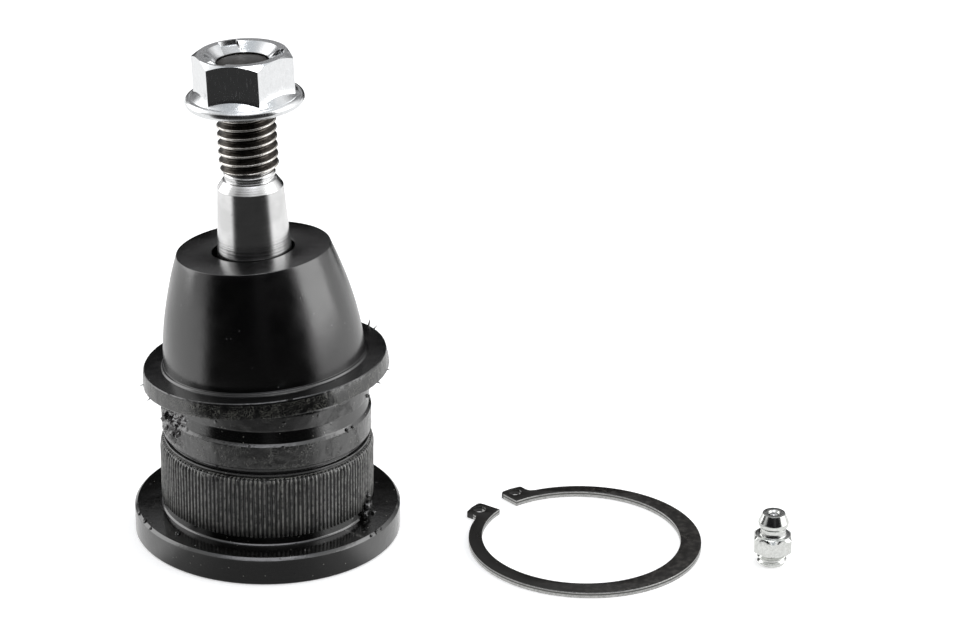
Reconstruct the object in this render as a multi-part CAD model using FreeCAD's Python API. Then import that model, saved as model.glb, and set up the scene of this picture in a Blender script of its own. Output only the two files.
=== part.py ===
import FreeCAD, Part
import math
import os

# Suspension ball joint, press-in type with a greasable half-ball bearing.
# Frame: origin at the centre of the housing's bottom face, +Z up along the housing. Millimetres.

V = FreeCAD.Vector
UP = V(0, 0, 1)

# Ball, bearings and the pieces that hold them down
ball_radius = 14.2
ball_running_gap = 0.12
half_ball_top_angle = 36.3
shank_running_gap = 0.15
race_wall = 3.7
race_bottom = 0.6
race_shoulder = 1.6
race_top_angle = 27.0
race_top_land = 1.2
seat_gap = 0.1
head_cut_angle = 33.8
head_end_height = 2.4
head_end_inset = 4.4
cup_top_depth = 1.5
cup_floor_angle = 57.67
cup_floor_thickness = 2.2
cup_side_gap = 0.2
cover_step = 0.5
cover_bottom = 1.1
cover_thickness = 2.6
cover_side_gap = 0.05
lip_overhang = 2.2
port_boss_wall = 3.07
port_boss_height = 1.6
port_thread_radius = 2.73
port_countersink = 0.5
spring_room = 2.0
spring_inner_radius = 8.4
spring_edge_gap = 1.6
spring_thickness = 0.95

# Forged housing, from the bottom face up
flange_reach = 5.85
flange_height = 6.3
flange_chamfer = 0.7
flange_fillet = 0.5
housing_wall = 5.15
press_start = 9.5
press_end = 21.6
serration_count = 150
serration_depth = 0.28
serration_groove = 0.22
serration_relief = 0.4
lead_chamfer = 0.8
ring_groove_width = 1.6
ring_groove_depth = 1.25
collar_step = 0.5
collar_height = 5.3
neck_step = 0.85
cove_depth = 0.85
cove_height = 3.4
neck_band_height = 4.0
neck_rounding = 0.6
throat_overlap = 0.86
throat_rise = 1.2
throat_land = 0.8
mouth_flare = 3.5

# Ball stud, measured along its own axis from the ball centre
stud_lean_x = -0.050
stud_lean_y = 0.020
stud_shank_radius = 8.0
stud_neck_waist = 0.85
stud_neck_end = 12.6
stud_flare_end = 24.2
taper_start = 49.0
taper_end = 59.5
taper_drop = 0.95
shoulder_width = 1.3
shoulder_height = 1.8
undercut_width = 1.5
undercut_depth = 1.0
thread_radius = 6.35
stud_end_chamfer = 1.0
stud_end_drop = 2.0

# Flange nut on the stud's thread
nut_seat = 77.75
nut_height = 11.2
nut_across_flats = 19.05
nut_flange_radius = 12.6
nut_rim_radius = 1.05
nut_rim_flatness = 1.05
nut_skirt_height = 3.55
nut_hex_foot = 0.3
nut_land_inset = 0.03
nut_chamfer_drop = 1.05
nut_recess_margin = 1.5
nut_recess_depth = 1.5
nut_thread_gap = 0.1
nut_turn = -10.2
punch_count = 3
punch_width = 4.2
punch_length = 2.2
punch_depth = 1.1
punch_turn = 114.0

# Rubber dust boot, which sits a little askew on the housing and the stud
boot_lean_x = -0.089
boot_lean_y = 0.045
boot_seat_drop = 0.2
boot_flange_wall = 3.75
boot_flange_draft = 0.4
boot_flange_thickness = 3.7
boot_height = 25.0
boot_base_inset = 0.5
boot_bulge = 0.55
boot_bulge_height = 13.2
boot_inner_bulge_height = 11.3
boot_top_radius = 16.5
boot_top_rounding = 0.5
boot_bead_radius = 0.37
boot_hole_gap = 0.85
boot_wall = 2.1
boot_roof = 2.3
boot_recess_depth = 2.5
boot_recess_gap = 0.6

# Loose retaining ring, lying beside the joint
ring_clearance = 15.0
ring_place_y = -8.2
ring_grip = 0.3
ring_width = 3.7
ring_offset = 1.05
ring_thickness = 1.3
ring_gap_direction = 137.0
ring_gap_half_angle = 7.0
ring_lug_reach = 3.0
ring_lug_width = 5.1
ring_lug_slope = 1.4
ring_lug_corner = 0.6
ring_lug_hole_radius = 1.35
ring_lug_hole_inset = 2.6
ring_lug_hole_drop = 1.9

# Loose grease fitting, standing beside the joint
fitting_clearance = 14.7
fitting_place_y = -16.4
fitting_thread_radius = 3.175
fitting_thread_length = 3.2
fitting_lead_chamfer = 0.4
fitting_hex_flats = 7.94
fitting_hex_height = 4.5
fitting_hex_turn = 18.0
fitting_hex_chamfer_drop = 0.4
fitting_hex_chamfer_width = 0.7
fitting_neck_radius = 2.75
fitting_neck_waist = 0.15
fitting_neck_top = 9.4
fitting_head_radius = 3.3
fitting_head_height = 10.3
fitting_head_flare = 0.4
fitting_head_land = 0.2
fitting_height = 12.0
fitting_tip_radius = 2.45
fitting_mouth_overlap = 0.25
fitting_mouth_depth = 0.5
fitting_bore_gap = 0.25
fitting_bore_end = 1.4
fitting_stake_width = 0.4
check_ball_radius = 1.2
check_ball_gap = 0.05
fitting_spring_wire = 0.22
fitting_spring_gap = 0.15
fitting_spring_turns = 6

# How far a cutting shape runs past what it cuts
cut_margin = 1.0


def revolve(points, arcs=()):
    """Turn a closed outline of (radius, height) points about Z; arcs maps an edge to its middle point."""
    middles = dict(arcs)
    edges = []
    for i, start in enumerate(points):
        end = points[(i + 1) % len(points)]
        a = V(start[0], 0, start[1])
        b = V(end[0], 0, end[1])
        if i in middles:
            mid = V(middles[i][0], 0, middles[i][1])
            edges.append(Part.Arc(a, mid, b).toShape())
        else:
            edges.append(Part.makeLine(a, b))
    face = Part.Face(Part.Wire(edges))
    return face.revolve(V(0, 0, 0), UP, 360)


def prism(points, height):
    """A straight prism on a closed outline of vectors at one height."""
    return Part.Face(Part.makePolygon(points + points[:1])).extrude(V(0, 0, height))


def hex_prism(across_flats, height, base, turn):
    """A hexagonal prism on Z with one flat facing -Y turned by an angle in degrees."""
    corner = across_flats / math.sqrt(3)
    angles = [math.radians(turn - 90 + 30 + 60 * k) for k in range(6)]
    return prism([V(corner * math.cos(a), corner * math.sin(a), base) for a in angles], height)


def lean(shape, lean_x, lean_y, centre):
    """Tilt an upright shape about a centre until its axis runs along (lean_x, lean_y, 1)."""
    axis = V(-lean_y, lean_x, 0)
    angle = math.degrees(math.atan(math.hypot(lean_x, lean_y)))
    shape.rotate(centre, axis, angle)
    return shape


def sphere_point(radius, height):
    """Radius of a sphere's section at a height from its centre."""
    return math.sqrt(radius ** 2 - height ** 2)


def sphere_middle(radius, low, high):
    """The point of a sphere's outline half way, by angle, between two heights from its centre."""
    angle = (math.asin(low / radius) + math.asin(high / radius)) / 2
    return radius * math.cos(angle), radius * math.sin(angle)


def serrated_band():
    """The press-fit band: a cylinder with evenly spaced shallow V grooves along it."""
    pitch = 2 * math.pi / serration_count
    half_groove = serration_groove / press_radius / 2
    root = press_radius - serration_depth

    def at(radius, angle):
        return V(radius * math.cos(angle), radius * math.sin(angle), press_start)

    edges = []
    for k in range(serration_count):
        centre = k * pitch
        land_start = centre + half_groove
        land_end = centre + pitch - half_groove
        edges.append(Part.makeLine(at(root, centre), at(press_radius, land_start)))
        middle = at(press_radius, (land_start + land_end) / 2)
        land = Part.Arc(at(press_radius, land_start), middle, at(press_radius, land_end))
        edges.append(land.toShape())
        edges.append(Part.makeLine(at(press_radius, land_end), at(root, centre + pitch)))
    band = Part.Face(Part.Wire(edges)).extrude(V(0, 0, press_end - press_start))
    core = Part.makeCylinder(throat_radius, press_end - press_start, V(0, 0, press_start))
    return band.cut(core)


def slant(radius, angle):
    """Height on a sphere at a latitude in degrees."""
    return radius * math.sin(math.radians(angle))


seat_sphere = ball_radius + ball_running_gap
cover_top = cover_bottom + cover_thickness
cup_bottom = cover_top + spring_room
cup_floor_depth = slant(seat_sphere, cup_floor_angle)
ball_height = cup_bottom + cup_floor_thickness + cup_floor_depth
stud_axis_centre = V(0, 0, ball_height)

race_radius = ball_radius + race_wall
race_seat_radius = race_radius + seat_gap
race_top = slant(seat_sphere, race_top_angle)
race_top_inner = sphere_point(seat_sphere, race_top)
race_top_outer = race_top_inner + race_top_land
cover_radius = race_radius + cover_step
head_sphere_depth = slant(ball_radius, head_cut_angle)
half_ball_top = slant(ball_radius, half_ball_top_angle)

press_radius = race_seat_radius + housing_wall
flange_radius = press_radius + flange_reach
ring_groove_radius = press_radius - ring_groove_depth
collar_radius = press_radius - collar_step
neck_radius = press_radius - neck_step
throat_radius = race_top_inner - throat_overlap
mouth_radius = throat_radius + mouth_flare
ring_groove_bottom = press_end + lead_chamfer
ring_groove_top = ring_groove_bottom + ring_groove_width
collar_top = ring_groove_top + collar_height
cove_top = collar_top + cove_height
housing_height = cove_top + neck_band_height
throat_bottom = ball_height + race_top + seat_gap + throat_rise

stud_neck_radius = stud_shank_radius - stud_neck_waist
taper_top_radius = stud_shank_radius - taper_drop
undercut_start = taper_end + shoulder_height
undercut_end = undercut_start + undercut_width
undercut_radius = thread_radius - undercut_depth
stud_length = nut_seat + nut_height - stud_end_drop

ring_inner_radius = ring_groove_radius - ring_grip
ring_outer_radius = ring_inner_radius + ring_width
ring_place = V(flange_radius + ring_clearance + ring_outer_radius, ring_place_y, 0)
fitting_place = V(ring_place.x + ring_outer_radius + fitting_clearance, fitting_place_y, 0)


def make_housing():
    """Forged body: base flange, serrated press band, ring groove, collar, coved neck and stepped bore."""
    relief = press_radius - serration_relief
    lower = revolve([
        (throat_radius, 0),
        (flange_radius - flange_chamfer / 2, 0),
        (flange_radius, flange_chamfer / 2),
        (flange_radius, flange_height - flange_chamfer),
        (flange_radius - flange_chamfer, flange_height),
        (relief + flange_fillet, flange_height),
        (relief, flange_height + flange_fillet),
        (relief, press_start),
        (throat_radius, press_start),
    ])
    cove_middle = (neck_radius - cove_depth, (collar_top + cove_top) / 2)
    upper = revolve([
        (throat_radius, press_end),
        (press_radius - serration_depth, press_end),
        (press_radius - lead_chamfer, ring_groove_bottom),
        (ring_groove_radius, ring_groove_bottom),
        (ring_groove_radius, ring_groove_top),
        (collar_radius, ring_groove_top),
        (collar_radius, collar_top),
        (neck_radius, cove_top),
        (neck_radius, housing_height - neck_rounding),
        (neck_radius - neck_rounding, housing_height),
        (throat_radius, housing_height),
    ], {6: cove_middle})
    body = lower.fuse([serrated_band(), upper])
    above = housing_height + cut_margin
    bore = revolve([
        (0, -cut_margin),
        (cover_radius - lip_overhang, -cut_margin),
        (cover_radius - lip_overhang, cover_bottom),
        (cover_radius + cover_side_gap, cover_bottom),
        (cover_radius + cover_side_gap, cover_top),
        (race_seat_radius, cover_top),
        (race_seat_radius, ball_height + race_shoulder),
        (race_top_outer + seat_gap, ball_height + race_top + seat_gap),
        (throat_radius, throat_bottom),
        (throat_radius, throat_bottom + throat_land),
        (mouth_radius, housing_height),
        (mouth_radius, above),
        (0, above),
    ])
    return body.cut(bore).removeSplitter()


def make_bearing_race():
    """Upper bearing race with a spherical bore, seated in the housing's cone."""
    low = -race_bottom
    race = revolve([
        (sphere_point(seat_sphere, low), low),
        (race_radius, low),
        (race_radius, race_shoulder),
        (race_top_outer, race_top),
        (race_top_inner, race_top),
    ], {4: sphere_middle(seat_sphere, low, race_top)})
    race.translate(stud_axis_centre)
    return race


def make_half_ball_bearing():
    """Upper half of the ball: the stud's neck turns in its bore and its sphere tilts in the race."""
    bore = stud_neck_radius + shank_running_gap
    top_radius = sphere_point(ball_radius, half_ball_top)
    half = revolve([
        (bore, 0),
        (ball_radius, 0),
        (top_radius, half_ball_top),
        (bore, half_ball_top),
    ], {1: sphere_middle(ball_radius, 0, half_ball_top)})
    half.translate(stud_axis_centre)
    return lean(half, stud_lean_x, stud_lean_y, stud_axis_centre)


def make_ball_stud():
    """Stud with a hemispherical head, necked shank, long taper and threaded end."""
    head_low = -head_sphere_depth
    head_edge = sphere_point(ball_radius, head_low)
    stud = revolve([
        (0, head_low - head_end_height),
        (head_edge - head_end_inset, head_low - head_end_height),
        (head_edge, head_low),
        (ball_radius, -shank_running_gap),
        (stud_neck_radius, -shank_running_gap),
        (stud_neck_radius, stud_neck_end),
        (stud_shank_radius, stud_flare_end),
        (stud_shank_radius, taper_start),
        (taper_top_radius, taper_end),
        (taper_top_radius - shoulder_width, undercut_start),
        (undercut_radius, undercut_start),
        (undercut_radius, undercut_end),
        (thread_radius, undercut_end + thread_radius - undercut_radius),
        (thread_radius, stud_length - stud_end_chamfer),
        (thread_radius - stud_end_chamfer, stud_length),
        (0, stud_length),
    ], {2: sphere_middle(ball_radius, head_low, -shank_running_gap)})
    stud.translate(stud_axis_centre)
    return lean(stud, stud_lean_x, stud_lean_y, stud_axis_centre)


def make_pressure_cup():
    """Lower seat that the preload spring pushes up against the stud's head."""
    low = -cup_floor_depth
    high = -cup_top_depth
    floor_radius = sphere_point(seat_sphere, low)
    outer = race_seat_radius - cup_side_gap
    bottom = low - cup_floor_thickness
    cup = revolve([
        (floor_radius, bottom),
        (outer, bottom),
        (outer, high),
        (sphere_point(seat_sphere, high), high),
        (floor_radius, low),
    ], {3: sphere_middle(seat_sphere, low, high)})
    cup.translate(stud_axis_centre)
    return cup


def make_preload_spring():
    """Conical spring washer between the cover plate and the pressure cup."""
    outer = race_radius - spring_edge_gap
    return revolve([
        (outer, cover_top),
        (outer, cover_top + spring_thickness),
        (spring_inner_radius, cup_bottom),
        (spring_inner_radius, cup_bottom - spring_thickness),
    ])


def make_cover_plate():
    """Steel plate closing the bottom, with a threaded boss for the grease fitting."""
    boss_top = cover_top + port_boss_height
    boss_radius = port_thread_radius + port_boss_wall
    return revolve([
        (port_thread_radius + port_countersink, cover_bottom),
        (cover_radius, cover_bottom),
        (cover_radius, cover_top),
        (boss_radius, cover_top),
        (boss_radius, boss_top),
        (port_thread_radius, boss_top),
        (port_thread_radius, cover_bottom + port_countersink),
    ])


def make_flange_nut():
    """All-metal locking flange nut: chamfered hexagon, hollow skirt, rounded rim and three punch marks."""
    bore = thread_radius + nut_thread_gap
    recess = thread_radius + nut_recess_margin
    inscribed = nut_across_flats / 2
    corner = nut_across_flats / math.sqrt(3)
    rim = nut_flange_radius - nut_rim_radius
    rim_middle = nut_rim_radius * nut_rim_flatness
    skirt_top = nut_skirt_height
    envelope = revolve([
        (bore, 0),
        (rim, 0),
        (rim, 2 * rim_middle),
        (inscribed, skirt_top),
        (corner, skirt_top + nut_hex_foot),
        (corner, nut_height - nut_chamfer_drop),
        (inscribed - nut_land_inset, nut_height),
        (recess, nut_height),
        (bore, nut_height - nut_recess_depth),
    ], {1: (nut_flange_radius, rim_middle)})
    wrench = hex_prism(nut_across_flats, nut_height, 0, nut_turn)
    skirt = Part.makeCylinder(nut_flange_radius + cut_margin, skirt_top)
    nut = envelope.common(wrench.fuse(skirt))
    for k in range(punch_count):
        mark = Part.makeBox(punch_length, punch_width, punch_depth + cut_margin)
        mark.translate(V(recess - punch_length / 2, -punch_width / 2, nut_height - punch_depth))
        mark.rotate(V(0, 0, 0), UP, punch_turn + 360 * k / punch_count)
        nut = nut.cut(mark)
    nut.translate(stud_axis_centre + V(0, 0, nut_seat))
    return lean(nut, stud_lean_x, stud_lean_y, stud_axis_centre)


def make_dust_boot():
    """Rubber cone with a recessed flange round the neck, a bead, and a roof with the stud's hole."""
    top = boot_height
    base = neck_radius - boot_base_inset
    middle = (base + boot_top_radius) / 2 + boot_bulge
    recess = neck_radius + boot_recess_gap
    recess_top = boot_recess_depth - boot_flange_thickness
    flange = recess + boot_flange_wall
    hole = stud_shank_radius + boot_hole_gap
    boot = revolve([
        (base - boot_wall, recess_top),
        (recess, recess_top),
        (recess, -boot_flange_thickness),
        (flange, -boot_flange_thickness),
        (flange - boot_flange_draft, 0),
        (base + boot_bead_radius, 0),
        (base, 2 * boot_bead_radius),
        (boot_top_radius, top - boot_top_rounding),
        (boot_top_radius - boot_top_rounding, top),
        (hole, top),
        (hole, top - boot_roof),
        (boot_top_radius - boot_wall, top - boot_roof),
        (base - boot_wall, 0),
    ], {6: (middle, boot_bulge_height), 11: (middle - boot_wall, boot_inner_bulge_height)})
    centre = V(0, 0, housing_height - boot_seat_drop)
    boot.translate(centre + V(0, 0, boot_flange_thickness))
    return lean(boot, boot_lean_x, boot_lean_y, centre)


def ring_point(radius, side, along):
    """Point of the retaining ring, a length along its rim away from the gap on one side (-1 or 1)."""
    turned = side * (ring_gap_half_angle + math.degrees(along / ring_outer_radius))
    angle = math.radians(ring_gap_direction + turned)
    return V(radius * math.cos(angle), radius * math.sin(angle), 0)


def make_snap_ring():
    """External retaining ring, widest opposite its gap, with two flared eyes for the pliers."""
    end_radius = ring_inner_radius + ring_offset
    tip = ring_outer_radius + ring_lug_reach
    gap = math.radians(ring_gap_direction)
    outer = Part.makeCylinder(ring_outer_radius, ring_thickness)
    inner_centre = V(ring_offset * math.cos(gap), ring_offset * math.sin(gap), -cut_margin)
    inner = Part.makeCylinder(ring_inner_radius, ring_thickness + 2 * cut_margin, inner_centre)
    gap_edges = [ring_point(2 * ring_outer_radius, side, 0) for side in (-1, 1)]
    wedge = prism([V(0, 0, 0)] + gap_edges, ring_thickness + 2 * cut_margin)
    wedge.translate(V(0, 0, -cut_margin))
    ring = outer.cut(inner).cut(wedge)
    for side in (-1, 1):
        lug = prism([
            ring_point(end_radius, side, 0),
            ring_point(tip - ring_lug_corner, side, 0),
            ring_point(tip, side, ring_lug_corner),
            ring_point(tip, side, ring_lug_width),
            ring_point(ring_outer_radius, side, ring_lug_width + ring_lug_slope),
            ring_point(end_radius, side, ring_lug_width + ring_lug_slope),
        ], ring_thickness)
        ring = ring.fuse(lug)
    for side in (-1, 1):
        centre = ring_point(tip - ring_lug_hole_drop, side, ring_lug_hole_inset)
        hole = Part.makeCylinder(ring_lug_hole_radius, ring_thickness + 2 * cut_margin)
        hole.translate(centre - UP * cut_margin)
        ring = ring.cut(hole)
    ring = ring.cut(inner).removeSplitter()
    ring.translate(ring_place)
    return ring


fitting_bore_radius = check_ball_radius + fitting_bore_gap
fitting_stake_radius = fitting_bore_radius - fitting_stake_width
fitting_mouth_radius = check_ball_radius - fitting_mouth_overlap


def make_fitting_body():
    """Grease fitting: threaded shank, hexagon, neck and nipple head with a through bore."""
    hex_corner = fitting_hex_flats / math.sqrt(3)
    hex_top = fitting_thread_length + fitting_hex_height
    seat_height = fitting_height - fitting_mouth_depth
    ball_seat = seat_height - (fitting_bore_radius - fitting_mouth_radius)
    outline = revolve([
        (fitting_stake_radius, 0),
        (fitting_thread_radius - fitting_lead_chamfer, 0),
        (fitting_thread_radius, fitting_lead_chamfer),
        (fitting_thread_radius, fitting_thread_length),
        (hex_corner, fitting_thread_length),
        (hex_corner, hex_top - fitting_hex_chamfer_drop),
        (hex_corner - fitting_hex_chamfer_width, hex_top),
        (fitting_neck_radius, hex_top),
        (fitting_neck_radius, fitting_neck_top),
        (fitting_head_radius, fitting_head_height - fitting_head_flare),
        (fitting_head_radius, fitting_head_height + fitting_head_land),
        (fitting_tip_radius, fitting_height),
        (fitting_mouth_radius, fitting_height),
        (fitting_mouth_radius, seat_height),
        (fitting_bore_radius, ball_seat),
        (fitting_bore_radius, fitting_bore_end),
        (fitting_stake_radius, fitting_bore_end),
    ], {7: (fitting_neck_radius - fitting_neck_waist, (hex_top + fitting_neck_top) / 2)})
    wrench = hex_prism(fitting_hex_flats, fitting_hex_height, fitting_thread_length, fitting_hex_turn)
    shank = Part.makeCylinder(fitting_thread_radius, fitting_thread_length)
    head = Part.makeCylinder(hex_corner, fitting_height - hex_top, V(0, 0, hex_top))
    body = outline.common(wrench.fuse([shank, head]))
    body.translate(fitting_place)
    return body


def check_ball_centre():
    """Height at which the check ball rests against the cone under the fitting's mouth."""
    cone_top = fitting_height - fitting_mouth_depth
    contact_drop = math.sqrt(2) * (check_ball_radius + check_ball_gap) - fitting_mouth_radius
    return cone_top - contact_drop


def make_fitting_check_ball():
    """Steel ball that closes the fitting's mouth."""
    return Part.makeSphere(check_ball_radius, fitting_place + V(0, 0, check_ball_centre()))


def make_fitting_spring():
    """Coil spring under the check ball, swept along a helix."""
    low = fitting_bore_end + fitting_spring_wire
    high = check_ball_centre() - check_ball_radius - fitting_spring_wire
    coil_radius = fitting_bore_radius - fitting_spring_wire - fitting_spring_gap
    pitch = (high - low) / fitting_spring_turns
    helix = Part.makeHelix(pitch, high - low, coil_radius)
    start = V(coil_radius, 0, 0)
    profile = Part.Wire(Part.makeCircle(fitting_spring_wire, start, V(0, 1, 0)))
    coil = Part.Wire(helix).makePipeShell([profile], True, True)
    coil.translate(fitting_place + V(0, 0, low))
    return coil


PIECES = {
    "housing": make_housing,
    "cover_plate": make_cover_plate,
    "preload_spring": make_preload_spring,
    "pressure_cup": make_pressure_cup,
    "bearing_race": make_bearing_race,
    "half_ball_bearing": make_half_ball_bearing,
    "ball_stud": make_ball_stud,
    "dust_boot": make_dust_boot,
    "flange_nut": make_flange_nut,
    "snap_ring": make_snap_ring,
    "fitting_body": make_fitting_body,
    "fitting_check_ball": make_fitting_check_ball,
    "fitting_spring": make_fitting_spring,
}

os.makedirs("parts", exist_ok=True)
for name, make in PIECES.items():
    shape = make()
    box = shape.BoundBox
    print(name, "solids", len(shape.Solids), "valid", shape.isValid(), "volume", round(shape.Volume, 2),
          "z", round(box.ZMin, 2), round(box.ZMax, 2))
    shape.exportStep("parts/" + name + ".step")
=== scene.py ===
"""Looks of a press-in suspension ball joint with its loose snap ring and grease fitting.

Every length in the code is in metres, apart from the values that are multiplied by MM.
"""

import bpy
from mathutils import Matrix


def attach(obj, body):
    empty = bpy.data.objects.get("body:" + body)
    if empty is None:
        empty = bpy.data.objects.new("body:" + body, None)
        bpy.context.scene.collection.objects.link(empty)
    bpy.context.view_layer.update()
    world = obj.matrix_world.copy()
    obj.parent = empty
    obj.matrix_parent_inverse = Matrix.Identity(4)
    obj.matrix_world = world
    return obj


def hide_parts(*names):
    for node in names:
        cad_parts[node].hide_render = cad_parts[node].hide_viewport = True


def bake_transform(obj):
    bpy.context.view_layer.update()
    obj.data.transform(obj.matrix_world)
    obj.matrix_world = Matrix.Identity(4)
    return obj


bl_info = {
    "name": "Suspension Ball Joint",
    "version": (1, 0, 0),
    "blender": (4, 5, 0),
    "location": "View3D > Sidebar > Ball Joint",
    "description": "Builds the finished pieces of a press-in suspension ball joint and its studio",
    "category": "Add Mesh",
}

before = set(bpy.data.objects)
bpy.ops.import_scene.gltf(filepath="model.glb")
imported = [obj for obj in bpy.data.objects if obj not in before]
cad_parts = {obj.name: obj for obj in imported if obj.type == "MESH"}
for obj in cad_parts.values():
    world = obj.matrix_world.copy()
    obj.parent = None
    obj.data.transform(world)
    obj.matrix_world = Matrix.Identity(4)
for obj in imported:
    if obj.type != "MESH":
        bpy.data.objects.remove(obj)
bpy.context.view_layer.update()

import math

import bpy
import bmesh
from bpy.props import FloatProperty, FloatVectorProperty, IntProperty, PointerProperty
from bpy.types import Operator, Panel, PropertyGroup
from mathutils import Matrix, Vector, noise

MM = 0.001
UP = Vector((0, 0, 1))

# The photograph's camera: focal length and centre in pixels of a frame 960 wide and 639 high,
# pitch and roll in degrees
PHOTO_WIDTH = 960
PHOTO_HEIGHT = 639
FOCAL_PIXELS = 3579.7
CENTRE_X = 436.05
CENTRE_Y = 322.9
CAMERA_PLACE = Vector((36.5, -701.0, 360.0)) * MM
CAMERA_PITCH = 23.96
CAMERA_ROLL = 0.53
SENSOR_WIDTH = 36.0

# Heights on the housing's own axis
BALL_CENTRE = Vector((0, 0, 20.0 * MM))
BOOT_BASE = Vector((0, 0, 36.5 * MM))

# How far the stud and the boot lean along X and Y for each unit up
STUD_LEAN = (-0.050, 0.020)
BOOT_LEAN = (-0.089, 0.045)

# The stud's hemispherical head, and the nut's seat above the ball's centre
HEAD_RADIUS = 14.2 * MM
NUT_SEAT = 77.75 * MM

# Heights between which the housing's collar and its neck are scuffed
COLLAR_SCUFFS = (23.8 * MM, 29.4 * MM)
NECK_SCUFFS = (32.7 * MM, 36.7 * MM)

# Where the loose pieces lie on the floor
RING_PLACE = Vector((69.3 * MM, -8.2 * MM, 0))
FITTING_PLACE = Vector((109.3 * MM, -16.4 * MM, 0))


class HousingSizes(PropertyGroup):
    """Sizes and colour of the coated housing."""

    flange_radius: FloatProperty(
        name="Flange radius", description="Radius of the base flange",
        default=29.0 * MM, unit="LENGTH")
    flange_height: FloatProperty(
        name="Flange height", description="Thickness of the base flange",
        default=6.3 * MM, unit="LENGTH")
    press_radius: FloatProperty(
        name="Press radius", description="Radius over the serrations of the press band",
        default=23.12 * MM, unit="LENGTH")
    serrations: IntProperty(
        name="Serrations", description="Number of ribs round the press band",
        default=150, min=12, max=400)
    colour: FloatVectorProperty(
        name="Coating", description="Colour of the black coating",
        default=(0.0022, 0.0022, 0.0020), subtype="COLOR", min=0, max=1)


class StudSizes(PropertyGroup):
    """Sizes and colour of the ball stud."""

    thread_radius: FloatProperty(
        name="Thread radius", description="Outer radius of the stud's thread",
        default=6.35 * MM, unit="LENGTH")
    thread_pitch: FloatProperty(
        name="Thread pitch", description="Distance between two crests of the thread",
        default=1.954 * MM, unit="LENGTH")
    length: FloatProperty(
        name="Length", description="Length of the stud above the ball's centre",
        default=86.95 * MM, unit="LENGTH")
    colour: FloatVectorProperty(
        name="Steel", description="Colour of the polished steel",
        default=(0.78, 0.78, 0.78), subtype="COLOR", min=0, max=1)


class NutSizes(PropertyGroup):
    """Sizes and colour of the flange nut."""

    across_flats: FloatProperty(
        name="Across flats", description="Width of the nut's hexagon",
        default=19.05 * MM, unit="LENGTH")
    flange_radius: FloatProperty(
        name="Flange radius", description="Radius of the nut's round flange",
        default=12.6 * MM, unit="LENGTH")
    height: FloatProperty(
        name="Height", description="Height of the nut",
        default=11.2 * MM, unit="LENGTH")
    colour: FloatVectorProperty(
        name="Zinc", description="Colour of the zinc plating",
        default=(0.82, 0.83, 0.84), subtype="COLOR", min=0, max=1)


class BootSizes(PropertyGroup):
    """Sizes and colour of the rubber dust boot."""

    base_radius: FloatProperty(
        name="Base radius", description="Radius at the foot of the boot's cone",
        default=21.8 * MM, unit="LENGTH")
    top_radius: FloatProperty(
        name="Top radius", description="Radius of the boot's flat top",
        default=16.5 * MM, unit="LENGTH")
    height: FloatProperty(
        name="Height", description="Height of the boot above its flange",
        default=25.0 * MM, unit="LENGTH")
    colour: FloatVectorProperty(
        name="Rubber", description="Colour of the boot's rubber",
        default=(0.0010, 0.0010, 0.0011), subtype="COLOR", min=0, max=1)


class LooseSizes(PropertyGroup):
    """Sizes of the snap ring and the grease fitting."""

    ring_thickness: FloatProperty(
        name="Ring thickness", description="Thickness of the snap ring",
        default=1.3 * MM, unit="LENGTH")
    ring_colour: FloatVectorProperty(
        name="Ring colour", description="Colour of the ring's phosphate coat",
        default=(0.014, 0.013, 0.012), subtype="COLOR", min=0, max=1)
    fitting_height: FloatProperty(
        name="Fitting height", description="Height of the grease fitting",
        default=12.0 * MM, unit="LENGTH")


class StageSettings(PropertyGroup):
    """Light levels of the studio."""

    lamp_power: FloatProperty(
        name="Lamp power", description="Power of the left lamp; the other two follow it",
        default=2.0, min=0, unit="POWER")
    surround: FloatProperty(
        name="Surround", description="Brightness of the white surround",
        default=1.1, min=0, max=2)


def at(points):
    """Outline points given in millimetres, as (radius, height, fillet) in metres."""
    return [tuple(value * MM for value in point) for point in points]


def filleted(outline, steps=4):
    """Round each corner of an outline of (radius, height, fillet); the fillet may be left out."""
    points = []
    count = len(outline)
    for i, corner in enumerate(outline):
        here = Vector(corner[:2])
        radius = corner[2] if len(corner) > 2 else 0
        before = Vector(outline[i - 1][:2]) if i else None
        after = Vector(outline[i + 1][:2]) if i + 1 < count else None
        if radius <= 0 or before is None or after is None:
            points.append(here)
            continue
        back = (before - here).normalized()
        ahead = (after - here).normalized()
        opening = math.acos(max(-1, min(1, back.dot(ahead))))
        reach = radius / math.tan(opening / 2)
        reach = min(reach, 0.49 * (before - here).length, 0.49 * (after - here).length)
        start = here + back * reach
        end = here + ahead * reach
        for k in range(steps + 1):
            t = k / steps
            points.append(start * (1 - t) ** 2 + here * 2 * t * (1 - t) + end * t ** 2)
    return points


def new_object(name, bm, sharp_angle=32):
    """Turn a bmesh into a smooth-shaded object with sharp edges above an angle in degrees."""
    bmesh.ops.recalc_face_normals(bm, faces=bm.faces)
    mesh = bpy.data.meshes.new(name)
    bm.to_mesh(mesh)
    bm.free()
    for polygon in mesh.polygons:
        polygon.use_smooth = True
    mesh.set_sharp_from_angle(angle=math.radians(sharp_angle))
    obj = bpy.data.objects.new(name, mesh)
    bpy.context.scene.collection.objects.link(obj)
    return obj


def around(radius, angle, height=0.0):
    """The point at a radius, an angle about Z and a height."""
    return Vector((radius * math.cos(angle), radius * math.sin(angle), height))


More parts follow.
